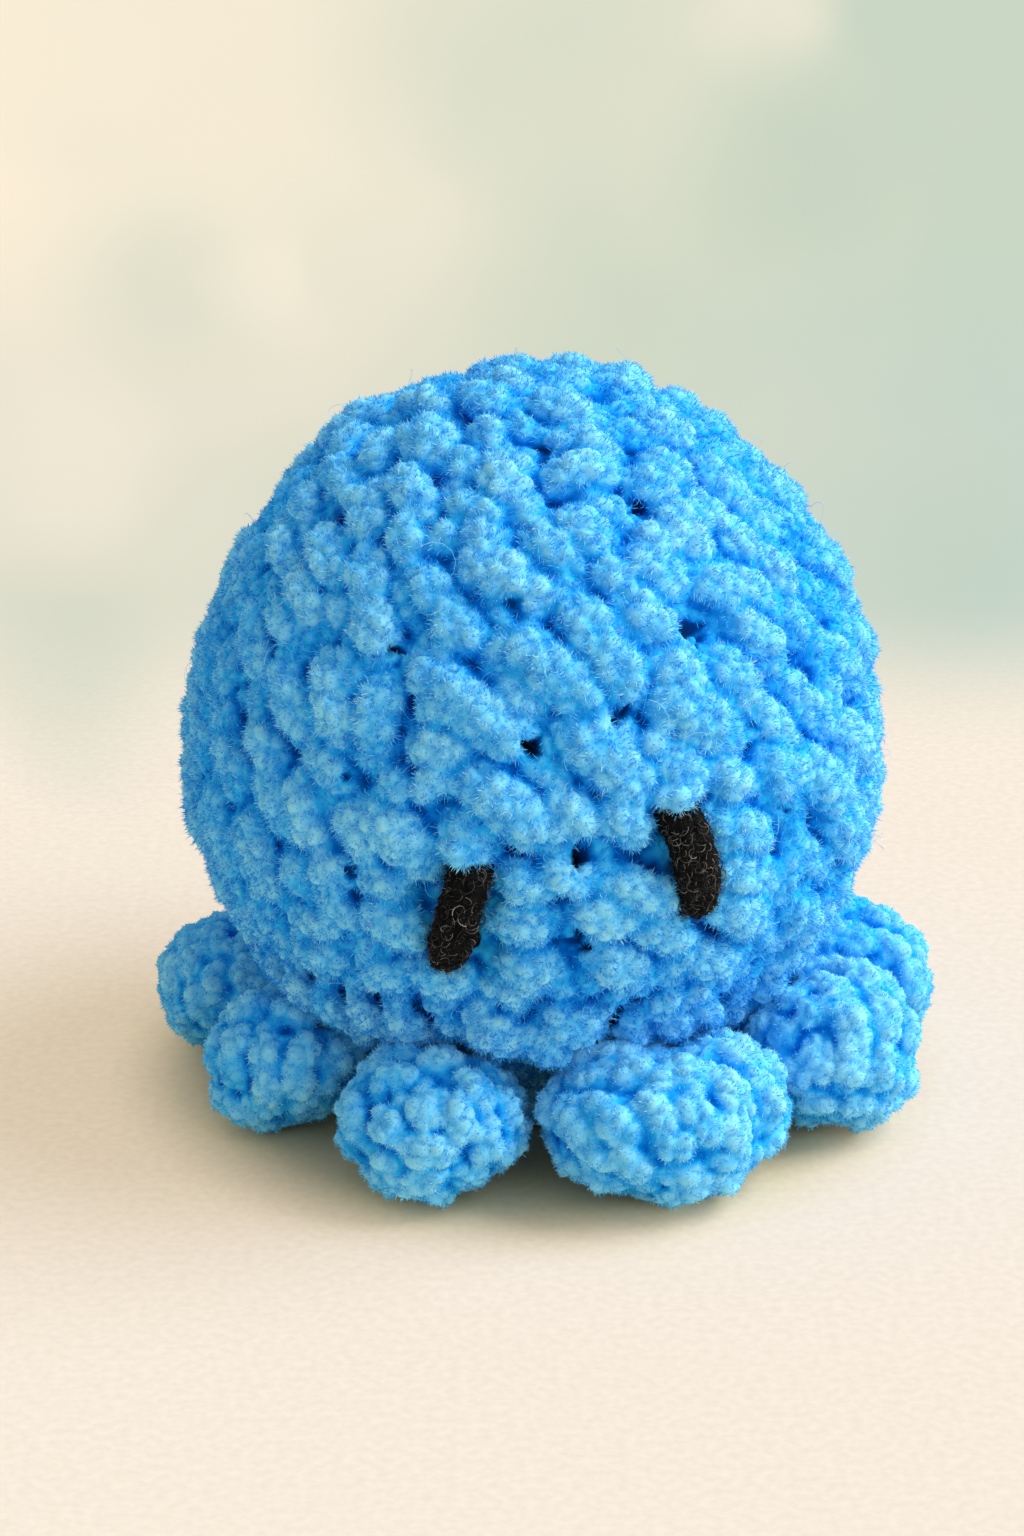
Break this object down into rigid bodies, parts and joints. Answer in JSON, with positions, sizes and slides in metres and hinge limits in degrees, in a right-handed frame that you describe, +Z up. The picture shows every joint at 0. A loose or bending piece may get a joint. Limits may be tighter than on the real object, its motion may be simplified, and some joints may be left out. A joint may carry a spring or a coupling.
{
  "type": "crocheted toy octopus",
  "caption": "Small crocheted octopus in thick blue chenille yarn: stuffed egg-shaped head, short plump tentacles round its base, black yarn eyes.",
  "frame": {"origin": "middle of the flat underside of the base, on the surface that the toy stands on", "axes": "+Z up through the crown; -Y to the front, between the two front tentacles, with the eyes on that side; +X to the right of the front view"},
  "size_m": [0.0905, 0.0845, 0.0846],
  "materials": {
    "blue_yarn": "matte",
    "black_yarn": "matte",
    "fibrefill": "matte"
  },
  "bodies": {
    "head": {"head_cover": "blue_yarn", "head_filling": "fibrefill", "base_cover": "blue_yarn", "eye_yarn": "black_yarn"},
    "tentacle_1": {"tentacle_1_cover": "blue_yarn", "tentacle_1_filling": "fibrefill"},
    "tentacle_2": {"tentacle_2_cover": "blue_yarn", "tentacle_2_filling": "fibrefill"},
    "tentacle_3": {"tentacle_3_cover": "blue_yarn", "tentacle_3_filling": "fibrefill"},
    "tentacle_4": {"tentacle_4_cover": "blue_yarn", "tentacle_4_filling": "fibrefill"},
    "tentacle_5": {"tentacle_5_cover": "blue_yarn", "tentacle_5_filling": "fibrefill"},
    "tentacle_6": {"tentacle_6_cover": "blue_yarn", "tentacle_6_filling": "fibrefill"},
    "tentacle_7": {"tentacle_7_cover": "blue_yarn", "tentacle_7_filling": "fibrefill"},
    "tentacle_8": {"tentacle_8_cover": "blue_yarn", "tentacle_8_filling": "fibrefill"}
  },
  "joints": [
    {"name": "tentacle_1_lift", "type": "hinge", "parent": "head", "child": "tentacle_1", "pos_m": [-0.01065, -0.02976, 0.01694], "axis": [-0.9415, 0.3371, 0], "range_deg": [0, 30], "stiffness_Nm_per_rad": 0.004},
    {"name": "tentacle_2_lift", "type": "hinge", "parent": "head", "child": "tentacle_2", "pos_m": [0.014, -0.02935, 0.01804], "axis": [-0.9026, -0.4305, 0], "range_deg": [0, 30], "stiffness_Nm_per_rad": 0.004},
    {"name": "tentacle_3_lift", "type": "hinge", "parent": "head", "child": "tentacle_3", "pos_m": [0.03051, -0.01339, 0.01909], "axis": [-0.4019, -0.9157, 0], "range_deg": [0, 30], "stiffness_Nm_per_rad": 0.004},
    {"name": "tentacle_4_lift", "type": "hinge", "parent": "head", "child": "tentacle_4", "pos_m": [0.03225, 0.00453, 0.01809], "axis": [0.1392, -0.9903, 0], "range_deg": [0, 30], "stiffness_Nm_per_rad": 0.004},
    {"name": "tentacle_5_lift", "type": "hinge", "parent": "head", "child": "tentacle_5", "pos_m": [0.01695, 0.02713, 0.01739], "axis": [0.848, -0.5299, 0], "range_deg": [0, 30], "stiffness_Nm_per_rad": 0.004},
    {"name": "tentacle_6_lift", "type": "hinge", "parent": "head", "child": "tentacle_6", "pos_m": [-0.01229, 0.02896, 0.01677], "axis": [0.9205, 0.3907, 0], "range_deg": [0, 30], "stiffness_Nm_per_rad": 0.004},
    {"name": "tentacle_7_lift", "type": "hinge", "parent": "head", "child": "tentacle_7", "pos_m": [-0.03015, 0.00499, 0.01578], "axis": [0.1633, 0.9866, 0], "range_deg": [0, 30], "stiffness_Nm_per_rad": 0.004},
    {"name": "tentacle_8_lift", "type": "hinge", "parent": "head", "child": "tentacle_8", "pos_m": [-0.02747, -0.01442, 0.01627], "axis": [-0.4648, 0.8854, 0], "range_deg": [0, 30], "stiffness_Nm_per_rad": 0.004}
  ]
}
